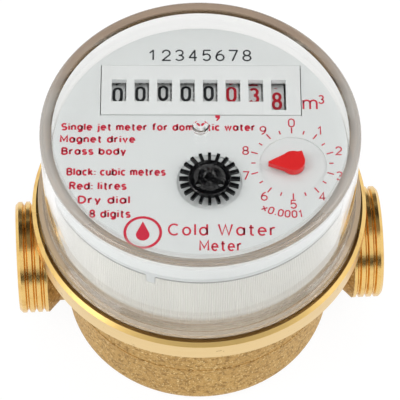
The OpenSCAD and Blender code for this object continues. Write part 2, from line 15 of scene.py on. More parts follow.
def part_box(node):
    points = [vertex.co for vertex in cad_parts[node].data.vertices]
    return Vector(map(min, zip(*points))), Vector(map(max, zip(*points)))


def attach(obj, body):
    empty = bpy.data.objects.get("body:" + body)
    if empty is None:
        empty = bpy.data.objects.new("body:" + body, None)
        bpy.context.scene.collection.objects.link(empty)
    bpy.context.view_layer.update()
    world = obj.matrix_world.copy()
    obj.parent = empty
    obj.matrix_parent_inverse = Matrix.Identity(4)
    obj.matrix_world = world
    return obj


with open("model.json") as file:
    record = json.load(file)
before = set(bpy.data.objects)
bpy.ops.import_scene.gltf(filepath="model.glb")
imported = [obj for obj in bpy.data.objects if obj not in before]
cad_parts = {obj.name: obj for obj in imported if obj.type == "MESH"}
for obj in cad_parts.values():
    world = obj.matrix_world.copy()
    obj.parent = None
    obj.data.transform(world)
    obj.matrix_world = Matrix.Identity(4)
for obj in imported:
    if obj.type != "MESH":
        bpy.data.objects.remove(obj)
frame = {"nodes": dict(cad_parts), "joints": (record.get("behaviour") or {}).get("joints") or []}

MM = 0.001
nodes = frame["nodes"]
joints = {joint["name"]: joint for joint in frame["joints"]}
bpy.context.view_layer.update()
print("solids:", len(nodes), "joints:", len(joints))

# %% [markdown]
# The photograph was taken with a long lens, from the front and well above the dial. A lens of 234 mm keeps the
# round cap almost a true ellipse, as it is there. The camera stands a few degrees to the left of the meter's
# middle, so that the right pipe end lies a little further back than the left one. It also leans by about a degree,
# as a camera held in the hand does, which sets the foot a little to the left under the cap.

# %% Camera
view_height = math.radians(56.6)
view_turn = math.radians(-4.3)
view_lean = math.radians(1.0)
view_distance = 603.0 * MM
view_target = Vector((0.17, 0, 41.3)) * MM
toward_camera = Vector((
    math.sin(view_turn) * math.cos(view_height),
    -math.cos(view_turn) * math.cos(view_height),
    math.sin(view_height),
))
camera_data = bpy.data.cameras.new("photo_camera")
camera_data.lens = 234
camera_data.sensor_width = 36
camera = bpy.data.objects.new("photo_camera", camera_data)
camera.location = view_target + view_distance * toward_camera
level = toward_camera.to_track_quat("Z", "Y").to_matrix()
camera.rotation_euler = (level @ Matrix.Rotation(view_lean, 3, "Z")).to_euler()
bpy.context.scene.collection.objects.link(camera)
bpy.context.scene.camera = camera
bpy.context.scene.view_settings.view_transform = "Standard"
bpy.context.scene.cycles.max_bounces = 24
bpy.context.scene.cycles.glossy_bounces = 12
bpy.context.scene.cycles.transmission_bounces = 24
print("camera at", [round(value, 3) for value in camera.location])

# %% [markdown]
# Blender builds a finish from nodes, and nodes are joined by sockets. Long chains of Math nodes are hard to read,
# so one small class holds a socket and lets Python's own operators add those nodes. Every other kind of node
# comes from its node method, which sets the settings first and then fills or links the sockets.

# %% A socket that does arithmetic
class Wire:
    def __init__(self, tree, socket=None):
        self.tree = tree
        self.socket = socket

    def node(self, kind, settings=None, inputs=None, out=0):
        made = self.tree.nodes.new(kind)
        for name, value in (settings or {}).items():
            setattr(made, name, value)
        join(made, inputs or {})
        return Wire(self.tree, made.outputs[out])

    def maths(self, operation, *values, limit=False):
        settings = {"operation": operation, "use_clamp": limit}
        return self.node("ShaderNodeMath", settings, dict(enumerate(values)))

    def __add__(self, other):
        return self.maths("ADD", self, other)

    def __sub__(self, other):
        return self.maths("SUBTRACT", self, other)

    def __rsub__(self, other):
        return self.maths("SUBTRACT", other, self)

    def __mul__(self, other):
        return self.maths("MULTIPLY", self, other)

    def __truediv__(self, other):
        return self.maths("DIVIDE", self, other)

    def __pow__(self, other):
        return self.maths("POWER", self, other)

    def __abs__(self):
        return self.maths("ABSOLUTE", self)

    __radd__ = __add__
    __rmul__ = __mul__

    def beyond(self, edge, soft):
        """0 below the edge and 1 above it, with a soft step between."""
        return self.maths("DIVIDE", self - edge, soft, limit=True)


def join(node, inputs):
    """Fills a node's sockets with values, or links them where the value is a socket."""
    for name, value in inputs.items():
        if isinstance(value, Wire):
            node.id_data.links.new(value.socket, node.inputs[name])
        else:
            node.inputs[name].default_value = value


def larger(first, *others):
    for other in others:
        first = first.maths("MAXIMUM", first, other)
    return first


def mixed(mask, low, high):
    """A colour that goes from low to high as the mask goes from 0 to 1."""
    return mask.node("ShaderNodeMix", {"data_type": "RGBA"}, {0: mask, 6: low, 7: high}, out=2)


def colour(red, green, blue):
    """A colour as a picture shows it, 0 to 255, as the linear values that a shader takes."""
    shares = [value / 255 for value in (red, green, blue)]
    linear = [share / 12.92 if share <= 0.04045 else ((share + 0.055) / 1.055) ** 2.4 for share in shares]
    return (*linear, 1)


def begin(name):
    """A new material, a first wire to add nodes from, and its shader."""
    material = bpy.data.materials.new(name)
    material.use_nodes = True
    return material, Wire(material.node_tree), material.node_tree.nodes["Principled BSDF"]


def noise(place, size, detail=3.0, rough=0.55):
    """Noise whose largest features are about size millimetres wide."""
    inputs = {"Vector": place, "Scale": 1 / (size * MM), "Detail": detail, "Roughness": rough}
    return place.node("ShaderNodeTexNoise", {}, inputs, out=0)


def bump(height, depth):
    """A normal from a height that runs from 0 to 1 over a depth in millimetres."""
    return height.node("ShaderNodeBump", {}, {"Height": height, "Distance": depth * MM, "Strength": 1.0})


print("the sRGB value 188 is", round(colour(188, 188, 188)[0], 3), "in linear light")

# %% [markdown]
# The studio is a pale floor in soft light from both sides and above. The photograph's ground is pure white. More
# light would burn out the dial, so the floor and the world instead answer white to the rays that the camera sees,
# straight, mirrored or through the cap. The floor still takes some of its light from the lamps, so the meter's
# shadow stays on it.

# %% World and floor
def seen_rays(start):
    """1 for a ray that the camera sees, straight, mirrored or through the cap, and 0 once it has scattered."""
    kinds = ("Camera", "Glossy", "Transmission")
    rays = [start.node("ShaderNodeLightPath", out=f"Is {kind} Ray") for kind in kinds]
    scattered = start.node("ShaderNodeLightPath", out="Diffuse Depth").beyond(0.5, 0.1)
    return larger(*rays) * (1 - scattered)


world = bpy.data.worlds.new("studio")
world.use_nodes = True
sky = Wire(world.node_tree)
ambient = 0.42
sky_level = seen_rays(sky) * (1 - ambient) + ambient
join(world.node_tree.nodes["Background"], {"Color": (1, 1, 1, 1), "Strength": sky_level})
bpy.context.scene.world = world

floor_finish, floor_start, floor_shader = begin("pale_floor")
join(floor_shader, {"Base Color": (0.8, 0.8, 0.8, 1), "Roughness": 0.9})
glow = floor_start.node("ShaderNodeEmission", {}, {"Color": (1, 1, 1, 1), "Strength": 1.06})
lit = Wire(floor_finish.node_tree, floor_shader.outputs[0])
seen = seen_rays(floor_start) * 0.86
ground = floor_start.node("ShaderNodeMixShader", {}, {0: seen, 1: lit, 2: glow})
join(floor_finish.node_tree.nodes["Material Output"], {"Surface": ground})

floor_half = 2.0
floor_mesh = bpy.data.meshes.new("floor")
corners = [(-1, -1), (1, -1), (1, 1), (-1, 1)]
floor_mesh.from_pydata([(floor_half * x, floor_half * y, -0.1 * MM) for x, y in corners], [], [(0, 1, 2, 3)])
floor = bpy.data.objects.new("floor", floor_mesh)
floor.data.materials.append(floor_finish)
bpy.context.scene.collection.objects.link(floor)
print("floor", 2 * floor_half, "m wide")

# %% [markdown]
# Two large soft boxes stand left and right. Three more light the dial from behind, the wall from in front and the
# drums in their windows from beside the camera.
# Polished brass and clear plastic show what is around them, and in the photograph that is a white table in a dark
# room. So dark cards stand in front and behind and a dim ceiling hangs above, which only mirrored rays see, and
# one of them bent rays too, as a photographer's flags do. They give the threads their dark bands and keep the cap
# free of glare.

# %% Lamps and flags
def soft_box(name, place, size, watts, mirrored=True):
    data = bpy.data.lights.new(name, "AREA")
    data.shape = "RECTANGLE"
    data.size, data.size_y = size
    data.energy = watts
    lamp = bpy.data.objects.new(name, data)
    lamp.location = place
    lamp.rotation_euler = (Vector(place) - view_target).to_track_quat("Z", "Y").to_euler()
    lamp.visible_glossy = mirrored
    lamp.visible_transmission = mirrored
    bpy.context.scene.collection.objects.link(lamp)


soft_box("left_box", (-0.75, -0.25, 0.7), (0.5, 0.7), 3.4)
soft_box("right_box", (0.8, -0.1, 0.75), (0.5, 0.7), 3.0)
soft_box("back_box", (0.0, 0.6, 0.9), (0.9, 0.4), 2.0, mirrored=False)
soft_box("front_box", (0.0, -0.85, 0.5), (1.0, 0.4), 2.6, mirrored=False)
soft_box("high_box", (0.0, -0.5, 0.85), (0.5, 0.3), 1.8, mirrored=False)


def flag(name, corners, tint, unseen):
    """A card of one even tint that lights nothing and is seen only by some kinds of rays."""
    material, start, shader = begin(name)
    glow = start.node("ShaderNodeEmission", {}, {"Color": (*tint, 1), "Strength": 1.0})
    join(material.node_tree.nodes["Material Output"], {"Surface": glow})
    mesh = bpy.data.meshes.new(name)
    mesh.from_pydata(corners, [], [(0, 1, 2, 3)])
    mesh.materials.append(material)
    card = bpy.data.objects.new(name, mesh)
    bpy.context.scene.collection.objects.link(card)
    for kind in unseen:
        setattr(card, f"visible_{kind}", False)


flag("front_flag", [(-0.7, -0.5, 0.06), (0.7, -0.5, 0.06), (0.7, -0.5, 0.28), (-0.7, -0.5, 0.28)],
     (0.03, 0.025, 0.02), ("camera", "diffuse", "transmission", "shadow"))
flag("back_flag", [(-0.3, 0.72, 0.64), (0.3, 0.72, 0.64), (0.3, 0.28, 1.06), (-0.3, 0.28, 1.06)],
     (0.004, 0.004, 0.004), ("camera", "diffuse", "shadow"))
flag("ceiling", [(-1.4, -0.4, 1.3), (1.4, -0.4, 1.3), (1.4, 1.1, 1.05), (-1.4, 1.1, 1.05)],
     (0.22, 0.2, 0.18), ("camera", "diffuse", "transmission", "shadow"))
flag("back_card", [(-0.35, 1.0, 0.1), (0.35, 1.0, 0.1), (0.35, 1.0, 0.8), (-0.35, 1.0, 0.8)],
     (0.1, 0.085, 0.07), ("camera", "diffuse", "transmission", "shadow"))

# %% [markdown]
# The body is one sand casting, left rough outside and turned bright where it fits something: the collar, the
# threads and the two end faces. One material with zones follows that, because the casting is one piece. The zones
# come from the place of a point on the body, so they need no painting and move with it.

# %% Brass
body_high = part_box("body")[1]
collar_height = 6 * MM
collar_bevel = 0.9 * MM
thread_length = 6.94 * MM
collar_radius = body_high.y
end_face = body_high.x


def parts_of(place):
    split = place.node("ShaderNodeSeparateXYZ", {}, {"Vector": place})
    outputs = split.socket.node.outputs
    return [Wire(place.tree, outputs[axis]) for axis in "XYZ"]


def cast_brass():
    material, start, shader = begin("cast_brass")
    place = start.node("ShaderNodeTexCoord", out="Object")
    x, y, z = parts_of(place)
    out = (x * x + y * y) ** 0.5
    collar = z.beyond(body_high.z - collar_height - 0.05 * MM, 0.1 * MM)
    bevel = (z + out).beyond(body_high.z + collar_radius - collar_bevel - 0.15 * MM, 0.1 * MM)
    thread = abs(x).beyond(end_face - thread_length, 0.15 * MM)
    turned = larger(collar, thread)

    grain = noise(place, 0.6, 6.0, 0.7)
    pits = noise(place, 1.1, 5.0, 0.65)
    cloud = noise(place, 9.0, 3.0)
    glint_flecks = noise(place, 0.45, 2.0).beyond(0.6, 0.06)
    rough_cast = mixed(cloud, colour(194, 154, 90), colour(220, 182, 114))
    rough_cast = mixed(pits.beyond(0.48, 0.14) * 0.75, rough_cast, colour(150, 112, 56))
    # Painted glints: small bright flecks over the rough casting.
    rough_cast = mixed(glint_flecks * 0.8, rough_cast, colour(252, 230, 174))

    lines = noise(place.node("ShaderNodeVectorMath", {"operation": "MULTIPLY"},
                             {0: place, 1: (0.05, 0.05, 6.0)}), 0.6, 3.0)
    bright = mixed(lines, colour(226, 194, 136), colour(244, 216, 162))
    bright = mixed(bevel, bright, colour(228, 192, 120))
    # Painted shade: the collar's top face, under the cap's foot, is painted darker, as the gap between them is in
    # shade.
    bright = mixed(z.beyond(body_high.z - 0.1 * MM, 0.05 * MM), bright, colour(132, 100, 56))
    nicks = noise(place, 2.2, 5.0, 0.7).beyond(0.64, 0.04)
    bright = mixed(nicks * 0.6, bright, colour(150, 112, 60))

    stain = noise(place, 3.0, 4.0, 0.6).beyond(0.5, 0.25)
    gold = mixed(stain * 0.45, colour(238, 200, 126), colour(200, 142, 62))
    machined = mixed(thread, bright, gold)

    join(shader, {
        "Base Color": mixed(turned, rough_cast, machined),
        "Metallic": 1.0,
        "Roughness": 0.5 + cloud * 0.1 - turned * 0.24 - thread * 0.06 + nicks * 0.1,
        "Normal": bump(grain * (1 - turned) + lines * turned * 0.04, 0.26),
    })
    return material


def turned_brass():
    material, start, shader = begin("turned_brass")
    place = start.node("ShaderNodeTexCoord", out="Object")
    cloud = noise(place, 4.0)
    join(shader, {
        "Base Color": mixed(cloud, colour(206, 160, 78), colour(234, 194, 112)),
        "Metallic": 1.0,
        "Roughness": 0.26 + cloud * 0.12,
        "Normal": bump(noise(place, 0.3), 0.01),
    })
    return material


print("collar", round(2 * collar_radius / MM, 1), "mm across, ends", round(2 * end_face / MM, 1), "mm apart")

# %% [markdown]
# The cap is clear moulded plastic. A transmission shader bends the light as the real one does, which gives the
# bright line at the dial's level by itself. In a real cap some light also runs down inside the wall and comes out
# at the rim and the foot, which look milky. A renderer that starts from the camera finds little of it, and leaves
# them nearly black. So there a dull shader that paints in that light is mixed in, less in front, where the dial
# lights the rim anyway. Its colour is painted light too: painted shade darkens the rim towards its inner edge, and
# the back of the rim and the foot are painted brown, as the brass looks through them.
#
# The cap would also shade everything below it, since a straight shadow ray can't bend. So shadow rays pass through
# a plain transparent shader instead.

# %% Clear plastic
gate_stub_height = 2.1 * MM
cap_wall_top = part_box("cap")[1].z - gate_stub_height
flange_top = body_high.z + 4.6 * MM
rim_inside = 32.9 * MM
rim_depth = 2.4 * MM


def clear_plastic():
    material, start, shader = begin("clear_plastic")
    place = start.node("ShaderNodeTexCoord", out="Object")
    x, y, z = parts_of(place)
    out = (x * x + y * y) ** 0.5
    waves = noise(place, 14.0, 2.0)
    rim = out.beyond(rim_inside, 0.6 * MM) * z.beyond(cap_wall_top - rim_depth, 0.6 * MM)
    flange = 1 - z.beyond(flange_top - 0.6 * MM, 1.6 * MM)
    edge = larger(rim, flange)
    join(shader, {
        "Base Color": mixed(edge, (0.985, 0.985, 0.98, 1), (0.975, 0.96, 0.945, 1)),
        "Roughness": waves * 0.02 + edge * 0.07,
        "IOR": 1.49,
        "Transmission Weight": 1.0,
        "Normal": bump(waves, 0.03),
    })
    shadow = start.node("ShaderNodeLightPath", out="Is Shadow Ray")
    passing = start.node("ShaderNodeBsdfTransparent", {}, {"Color": (0.96, 0.96, 0.955, 1)})
    clear = Wire(material.node_tree, shader.outputs[0])
    behind = y.beyond(-28 * MM, 12 * MM)
    # Painted shade darkens the rim towards its inner edge, and the back of the rim is painted brown, as brass
    # shows through.
    rim_painted_light = mixed(out.beyond(rim_inside + 0.2 * MM, 1.6 * MM), (0.3, 0.28, 0.26, 1), (0.62, 0.6, 0.57, 1))
    rim_painted_light = mixed(y.beyond(8 * MM, 14 * MM), rim_painted_light, (0.48, 0.37, 0.29, 1))
    # This layer is painted light for the rim and the foot, and the foot is painted brown, as brass shows through.
    dull = start.node("ShaderNodeBsdfPrincipled", {}, {
        "Base Color": mixed(flange, rim_painted_light, (0.54, 0.4, 0.25, 1)),
        "Roughness": 0.12,
    })
    dulled = start.node("ShaderNodeMixShader", {}, {0: edge * (0.28 + 0.26 * behind), 1: clear, 2: dull})
    surface = start.node("ShaderNodeMixShader", {}, {0: shadow, 1: dulled, 2: passing})
    join(material.node_tree.nodes["Material Output"], {"Surface": surface})
    return material


print("cap's flat top", round(cap_wall_top / MM, 1), "mm up, foot flange up to", round(flange_top / MM, 1), "mm")

# %% [markdown]
# Moulded plastic is never one flat colour. A soft cloud shifts its tint and its gloss a little, and a fine bump
# breaks the highlight as a mould's surface does. One function with a few numbers makes all the plastic pieces,
# and the metals inside follow the same pattern. The white housing also gets a painted shade line at its top, where
# it meets the dial.

# %% Plastics and small metals
def moulded(name, tint, roughness, shade=0.9, texture=0.004, metallic=0.0, shade_line=None):
    material, start, shader = begin(name)
    place = start.node("ShaderNodeTexCoord", out="Object")
    cloud = noise(place, 6.0)
    grain = noise(place, 0.25, 4.0)
    darker = tuple(shade * value for value in tint[:3]) + (1,)
    tone = mixed(cloud, darker, tint)
    if shade_line:
        # Painted shade: a dark line at the top of the housing, where it meets the dial.
        tone = mixed(parts_of(place)[2].beyond(shade_line, 0.1 * MM) * 0.8, tone, colour(70, 72, 74))
    join(shader, {
        "Base Color": tone,
        "Metallic": metallic,
        "Roughness": roughness + (cloud - 0.5) * 0.16,
        "Normal": bump(grain, texture),
    })
    return material


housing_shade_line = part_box("register_housing")[1].z - 0.4 * MM
finishes = {
    "cast_brass": cast_brass(),
    "turned_brass": turned_brass(),
    "clear_plastic": clear_plastic(),
    "blue_plastic": moulded("blue_plastic", colour(52, 84, 132), 0.4),
    "white_plastic": moulded("white_plastic", colour(240, 239, 232), 0.42, 0.95, shade_line=housing_shade_line),
    "grey_plastic": moulded("grey_plastic", colour(138, 142, 146), 0.5),
    "bridge_plastic": moulded("bridge_plastic", colour(190, 192, 190), 0.5),
    "gear_plastic": moulded("gear_plastic", colour(226, 218, 192), 0.4),
    "drum_plastic": moulded("drum_plastic", colour(216, 218, 218), 0.42, 0.96),
    "dial_white": moulded("dial_white", colour(224, 228, 228), 0.5, 0.975, 0.002),
    "frame_white": moulded("frame_white", colour(230, 233, 233), 0.45, 0.975, 0.002),
    "black_plastic": moulded("black_plastic", colour(12, 12, 14), 0.12, 0.6),
    "red_plastic": moulded("red_plastic", colour(227, 36, 38), 0.3, 0.88),
    "steel": moulded("steel", colour(196, 198, 202), 0.24, 0.9, 0.002, 1.0),
    "soft_iron": moulded("soft_iron", colour(130, 128, 126), 0.45, 0.8, 0.01, 1.0),
    "ferrite": moulded("ferrite", colour(58, 57, 60), 0.6, 0.8, 0.02),
    "jewel": moulded("jewel", colour(158, 30, 50), 0.1, 0.8, 0.0),
    "seal_rubber": moulded("seal_rubber", colour(30, 30, 31), 0.65, 0.8, 0.01),
}
red_print = moulded("red_print", colour(206, 40, 66), 0.5, 0.92)
drum_red = moulded("drum_red", colour(186, 14, 40), 0.45, 0.92)
drum_black = moulded("drum_black", colour(24, 26, 30), 0.45, 0.8)
grey_print = moulded("grey_print", colour(52, 55, 60), 0.5, 0.9)
print("finishes:", len(bpy.data.materials))

# %% [markdown]
# Each solid already names the slot of its finish in the record, so dressing them is one loop. Only the material
# changes: the mesh of a solid from the frame is never touched.

# %% Dress the solids
slot_of = {
    "cast_brass": ["body"],
    "turned_brass": ["retaining_ring", "worm"],
    "clear_plastic": ["cap"],
    "blue_plastic": ["inlet_strainer"],
    "white_plastic": ["impeller", "register_housing"],
    "grey_plastic": ["pressure_plate"],
    "bridge_plastic": ["train_bridge"],
    "gear_plastic": ["follower_shaft", "star_shaft", "idler", "pointer_shaft", "worm_shaft"]
                    + [f"pinion_{k}" for k in range(1, 8)],
    "drum_plastic": [f"drum_{k}" for k in range(1, 9)],
    "dial_white": ["dial_plate"],
    "frame_white": ["counter_frame"],
    "black_plastic": ["star_indicator"],
    "red_plastic": ["pointer"],
    "steel": ["lower_pivot", "upper_pivot", "drum_axle", "pinion_axle"],
    "soft_iron": ["magnet_shield"],
    "ferrite": ["drive_magnet", "follower_magnet"],
    "jewel": ["impeller_bush"],
    "seal_rubber": ["plate_seal"],
}
for slot, names in slot_of.items():
    for name in names:
        for material_slot in nodes[name].material_slots:
            material_slot.material = finishes[slot]
print("dressed:", sum(len(names) for names in slot_of.values()), "of", len(nodes))

# %% [markdown]
# Print lies on the dial, which stands a few degrees turned on the body, and on the drums, which are round. Both
# are drawn flat, in millimetres, and a place function then carries each point to where it belongs. The angle of
# the register comes from the drums' axis in the frame.

# %% Places on the register
drum_axis = Vector(joints["drum_1_spin"]["axis"])
register_turn = math.atan2(-drum_axis.y, -drum_axis.x)
to_register = Matrix.Rotation(register_turn, 4, "Z")
dial_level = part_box("dial_plate")[1].z
print_depth = 0.04
drum_width = 4.9


def on_dial(x, y, height):
    return to_register @ Vector((x * MM, y * MM, dial_level + height * MM))


def on_drum(k):
    """A place function for drum k: across its rim from its left edge, then round it from the top to the back."""
    centre = to_register.inverted() @ Vector(joints[f"drum_{k}_spin"]["pos_m"])
    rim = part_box(f"drum_{k}")[1].z - centre.z
    left = centre.x - drum_width / 2 * MM

    def place(x, y, height):
        angle = y * MM / rim
        reach = rim + height * MM
        spot = Vector((left + x * MM, centre.y + reach * math.sin(angle), centre.z + reach * math.cos(angle)))
        return to_register @ spot

    return place, rim / MM


print("register turned by", round(math.degrees(register_turn), 2), "degrees")

# %% [markdown]
# Print could be text objects, but a typeface that is thickened fills its own corners. Print on a dial has even
# strokes, so here each sign is a few strokes made of lines and arcs. A numeral fills a box one wide and one high.
# A letter has its own width, in capital heights.

# %% Numerals and signs
def arc(x, y, across, up, start, stop, steps=12):
    angles = [math.radians(start + (stop - start) * i / steps) for i in range(steps + 1)]
    return [(x + across * math.cos(angle), y + up * math.sin(angle)) for angle in angles]


def ring(x, y, across, up, steps=24):
    return arc(x, y, across, up, 0, 360, steps)


NUMERALS = {
    "0": [arc(0.5, 0.7, 0.5, 0.3, 0, 180) + arc(0.5, 0.3, 0.5, 0.3, 180, 360) + [(1, 0.7)]],
    "1": [[(0.15, 0.76), (0.55, 1), (0.55, 0)]],
    "2": [arc(0.5, 0.7, 0.48, 0.3, 165, -35) + [(0, 0), (1, 0)]],
    "3": [arc(0.46, 0.75, 0.46, 0.25, 150, -90), arc(0.46, 0.25, 0.52, 0.25, 90, -155)],
    "4": [[(0.72, 0), (0.72, 1), (0, 0.28), (1, 0.28)]],
    "5": [[(0.92, 1), (0.14, 1), (0.06, 0.5)] + arc(0.48, 0.32, 0.5, 0.32, 125, -150)],
    "6": [ring(0.5, 0.3, 0.5, 0.3), arc(0.92, 0.3, 0.92, 0.7, 180, 100)],
    "7": [[(0, 1), (1, 1), (0.36, 0)]],
    "8": [ring(0.5, 0.75, 0.43, 0.25), ring(0.5, 0.25, 0.5, 0.25)],
    "9": [ring(0.5, 0.7, 0.5, 0.3), arc(0.08, 0.7, 0.92, 0.7, 0, -80)],
}
SIGNS = NUMERALS | {"x": [[(0, 0.1), (1, 0.7)], [(0, 0.7), (1, 0.1)]], ".": [[(0.5, 0), (0.5, 0.14)]]}
print("signs in a box:", len(SIGNS))

# %% Letters
x_height = 0.7
bowl = ring(0.27, 0.35, 0.27, 0.35)
stem = [(0, x_height), (0, 0)]
tall_stem = [(0, 1), (0, 0)]
dot = [(0, 0.9), (0, 1)]
LETTERS = {
    "a": (0.54, [bowl, [(0.54, x_height), (0.54, 0)]]),
    "b": (0.54, [bowl, tall_stem]),
    "c": (0.46, [arc(0.27, 0.35, 0.27, 0.35, 48, 312)]),
    "d": (0.54, [bowl, [(0.54, 1), (0.54, 0)]]),
    "e": (0.54, [[(0, 0.36)] + arc(0.27, 0.35, 0.27, 0.35, 2, 315, 16)]),
    "f": (0.34, [arc(0.34, 0.8, 0.2, 0.2, 70, 180) + [(0.14, 0)], [(0, x_height), (0.34, x_height)]]),
    "g": (0.54, [bowl, [(0.54, x_height)] + arc(0.27, -0.02, 0.27, 0.25, 0, -145)]),
    "i": (0.0, [stem, dot]),
    "j": (0.14, [[(0.14, x_height)] + arc(-0.04, -0.1, 0.18, 0.16, 0, -95), [(0.14, 0.9), (0.14, 1)]]),
    "k": (0.46, [tall_stem, [(0.42, x_height), (0.02, 0.3)], [(0.17, 0.42), (0.46, 0)]]),
    "l": (0.0, [tall_stem]),
    "m": (0.8, [stem, arc(0.2, 0.48, 0.2, 0.22, 180, 0) + [(0.4, 0)],
                arc(0.6, 0.48, 0.2, 0.22, 180, 0) + [(0.8, 0)]]),
    "n": (0.48, [stem, arc(0.24, 0.44, 0.24, 0.26, 180, 0) + [(0.48, 0)]]),
    "o": (0.54, [bowl]),
    "r": (0.32, [stem, arc(0.26, 0.42, 0.26, 0.28, 180, 75)]),
    "s": (0.44, [arc(0.22, 0.525, 0.2, 0.175, 30, 270) + arc(0.22, 0.175, 0.22, 0.175, 90, -150)[1:]]),
    "t": (0.34, [[(0.14, 0.94)] + arc(0.3, 0.15, 0.16, 0.15, 180, 285), [(0, x_height), (0.34, x_height)]]),
    "u": (0.48, [[(0, x_height)] + arc(0.24, 0.26, 0.24, 0.26, 180, 360), [(0.48, x_height), (0.48, 0)]]),
    "v": (0.5, [[(0, x_height), (0.25, 0), (0.5, x_height)]]),
    "w": (0.76, [[(0, x_height), (0.19, 0), (0.38, x_height), (0.57, 0), (0.76, x_height)]]),
    "x": (0.5, [[(0, 0), (0.5, 0.6)], [(0, 0.6), (0.5, 0)]]),
    "y": (0.5, [[(0, x_height), (0.25, 0)], [(0.5, x_height), (0.16, -0.25)]]),
    "B": (0.6, [tall_stem, [(0, 1)] + arc(0.3, 0.76, 0.25, 0.24, 90, -90) + [(0, 0.52)],
                arc(0.32, 0.26, 0.28, 0.26, 90, -90) + [(0, 0)]]),
    "C": (0.7, [arc(0.4, 0.5, 0.4, 0.5, 48, 312, 18)]),
    "D": (0.68, [tall_stem, [(0, 1)] + arc(0.25, 0.5, 0.43, 0.5, 90, -90) + [(0, 0)]]),
    "M": (0.8, [[(0, 0), (0, 1), (0.4, 0.25), (0.8, 1), (0.8, 0)]]),
    "R": (0.6, [tall_stem, [(0, 1)] + arc(0.32, 0.76, 0.26, 0.24, 90, -90) + [(0, 0.52)],
                [(0.28, 0.52), (0.6, 0)]]),
    "S": (0.6, [arc(0.3, 0.74, 0.28, 0.26, 35, 270) + arc(0.3, 0.26, 0.3, 0.26, 90, -145)[1:]]),
    "W": (1.0, [[(0, 1), (0.25, 0), (0.5, 0.95), (0.75, 0), (1, 1)]]),
    "8": (0.55, [[(0.55 * u, v) for u, v in path] for path in NUMERALS["8"]]),
    ":": (0.0, [[(0, 0), (0, 0.1)], [(0, 0.5), (0, 0.6)]]),
    ".": (0.0, [[(0, 0), (0, 0.1)]]),
}
print("letters and signs with a width:", len(LETTERS))


# %% [markdown]
# A ribbon of even width along each stroke, with a little thickness, makes a clean closed solid that any place can
# carry. All the print of one colour on one body is gathered into one mesh.

# %% Strokes into solids
class Ink:
    """Thin raised print that is gathered into one mesh."""

    def __init__(self, place):
        self.place = place
        self.shape = bmesh.new()

    def plate(self, outline):
        """A thin plate with a flat outline."""
        rings = [[self.shape.verts.new(self.place(x, y, height)) for x, y in outline]
                 for height in (-0.01, print_depth)]
        self.shape.faces.new(rings[1])
        self.shape.faces.new(rings[0][::-1])
        for i in range(len(outline)):
            self.shape.faces.new((rings[0][i - 1], rings[0][i], rings[1][i], rings[1][i - 1]))

    def stroke(self, path, width):
        """A ribbon of even width along a path, closed where the path ends at its start."""
        path = [Vector(point) for point in path]
        closed = (path[0] - path[-1]).length < 1e-6
        if closed:
            path = path[:-1]
        count = len(path)
        columns = []
        for i, point in enumerate(path):
            before = path[i - 1] if closed or i else None
            after = path[(i + 1) % count] if closed or i < count - 1 else None
            ways = [(point - before).normalized()] if before is not None else []
            ways += [(after - point).normalized()] if after is not None else []
            way = sum(ways, Vector((0, 0))).normalized()
            side = Vector((-way.y, way.x)) * width / 2 / max(way.dot(ways[0]), 0.6)
            edges = (point + side, point - side)
            corners = [(edge, -0.01) for edge in edges] + [(edge, print_depth) for edge in edges[::-1]]
            columns.append([self.shape.verts.new(self.place(spot.x, spot.y, height)) for spot, height in corners])
        for i in range(0 if closed else 1, count):
            for j in range(4):
                one, two = columns[i - 1], columns[i]
                self.shape.faces.new((one[j - 1], one[j], two[j], two[j - 1]))
        if not closed:
            self.shape.faces.new(columns[0])
            self.shape.faces.new(columns[-1][::-1])

    def numeral(self, sign, x, y, width, height, stroke, turn=0.0):
        """One numeral with its middle at x, y."""
        spin = Matrix.Rotation(turn, 2)
        middle = Vector((x, y))
        for path in SIGNS[sign]:
            spots = [middle + spin @ Vector(((u - 0.5) * (width - stroke), (v - 0.5) * (height - stroke)))
                     for u, v in path]
            self.stroke(spots, stroke)

    def words(self, words, x, y, height, width, stroke):
        """A line of words from x on, fitted to a width over its strokes, with its foot at y."""
        gap, space = 0.36, 0.5
        cells, end = [], 0.0
        for sign in words:
            if sign == " ":
                end += space
                continue
            wide, paths = LETTERS[sign]
            cells.append((end, paths))
            end += wide + gap
        stretch = (width - stroke) / (end - gap)
        for start, paths in cells:
            for path in paths:
                self.stroke([(x + stroke / 2 + (start + u) * stretch, y + stroke / 2 + v * (height - stroke))
                             for u, v in path], stroke)

    def piece(self, name, body, slot, finish):
        bmesh.ops.remove_doubles(self.shape, verts=self.shape.verts, dist=1e-7)
        bmesh.ops.recalc_face_normals(self.shape, faces=self.shape.faces)
        return as_piece(self.shape, name, body, finish)


def as_piece(shape, name, body, finish):
    mesh = bpy.data.meshes.new(name)
    shape.to_mesh(mesh)
    shape.free()
    mesh.materials.append(finish)
    piece = bpy.data.objects.new(name, mesh)
    bpy.context.scene.collection.objects.link(piece)
    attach(piece, body)
    print(name, "has", len(mesh.polygons), "faces")
    return piece


# %% [markdown]
# Eight drums show the reading. The first five count cubic metres in black and the last three go on in red. A real
# counter has a little play, so its numerals never stand quite in line. The last drum turns all the time and has
# stopped on its way to eight. The ten numerals of a drum lie a tenth of a turn apart and the next one comes up
# from the front, so a higher numeral has a smaller angle.

# %% Numerals on the drums
READING = "00000038"
play = [0.3, 2.6, 4.8, 3.7, 4.8, 2.6, 0.0, -9.3]
first_red_drum = 6
numeral_middle = 2.3
numeral_width = 2.4
numeral_height = 4.6
numeral_stroke = 0.68

